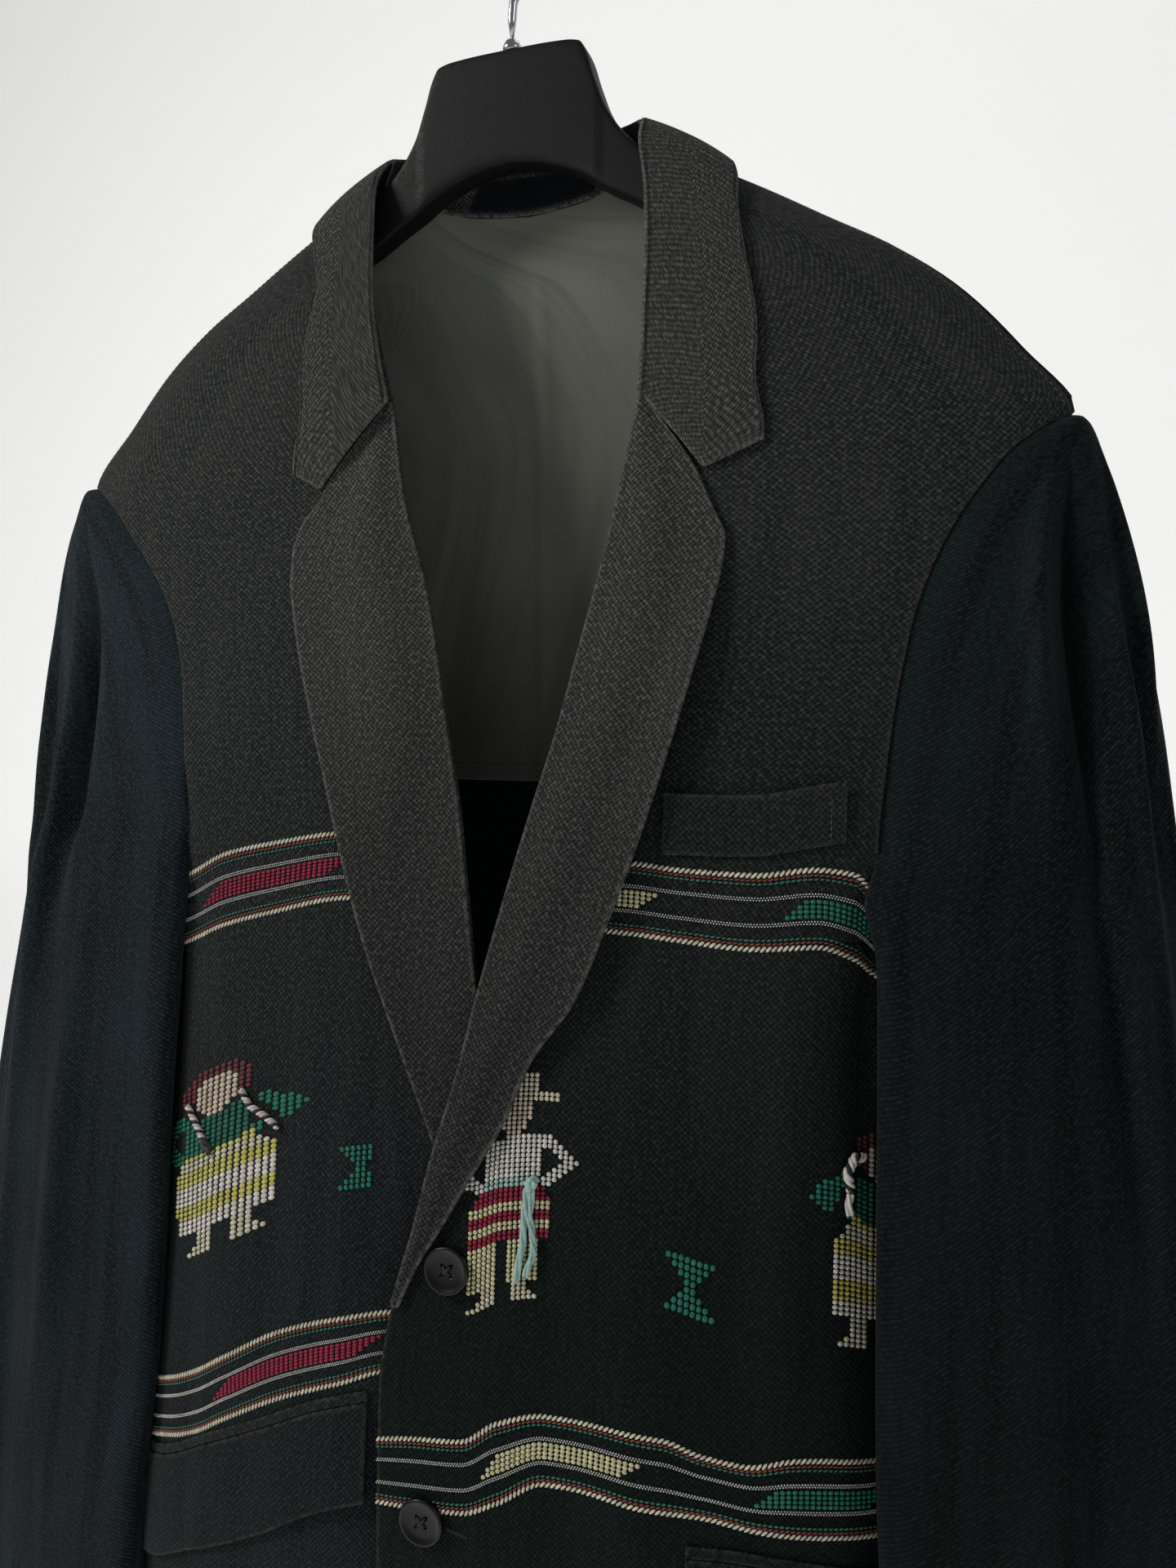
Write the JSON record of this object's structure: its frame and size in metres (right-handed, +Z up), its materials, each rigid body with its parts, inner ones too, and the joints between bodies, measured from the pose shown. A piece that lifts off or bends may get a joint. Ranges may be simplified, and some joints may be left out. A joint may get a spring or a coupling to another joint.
{
  "type": "embroidered jacket on hanger",
  "caption": "Single-breasted notch-lapel jacket with brocaded bands and woven folk figures on its fronts, half-lined back, flap pockets and set-in sleeves, hung on a black suit hanger.",
  "frame": {"origin": "inside top of the hanger's hook, where a rail holds it", "axes": "+X to the wearer's left, +Y to the wearer's back, +Z up along the hook's shank"},
  "size_m": [0.6696, 0.1389, 0.9195],
  "materials": {
    "front_cloth": "coarse plain handloom weave with brocaded bands",
    "collar_cloth": "coarse plain weave, worn paler at the edges",
    "sleeve_cloth": "soft washed twill",
    "lining_cloth": "smooth plain lining",
    "label_cloth": "bare woven label",
    "button_resin": "dished four-hole button",
    "hanger_lacquer": "satin",
    "hook_steel": "polished wire"
  },
  "bodies": {
    "root": {"front_left": "front_cloth", "front_right": "front_cloth", "breast_welt": "front_cloth", "pocket_flap_left": "front_cloth", "pocket_flap_right": "front_cloth", "pocket_jet_left": "front_cloth", "pocket_jet_right": "front_cloth", "lapel_left": "collar_cloth", "lapel_right": "collar_cloth", "collar_fall": "collar_cloth", "collar_stand": "collar_cloth", "back_left": "sleeve_cloth", "back_right": "sleeve_cloth", "sleeve_left_top": "sleeve_cloth", "sleeve_left_under": "sleeve_cloth", "sleeve_right_top": "sleeve_cloth", "sleeve_right_under": "sleeve_cloth", "back_lining": "lining_cloth", "neck_label": "label_cloth", "button_upper": "button_resin", "button_lower": "button_resin", "hanger_body": "hanger_lacquer", "hanger_ferrule": "hook_steel", "hanger_hook": "hook_steel"}
  },
  "joints": []
}
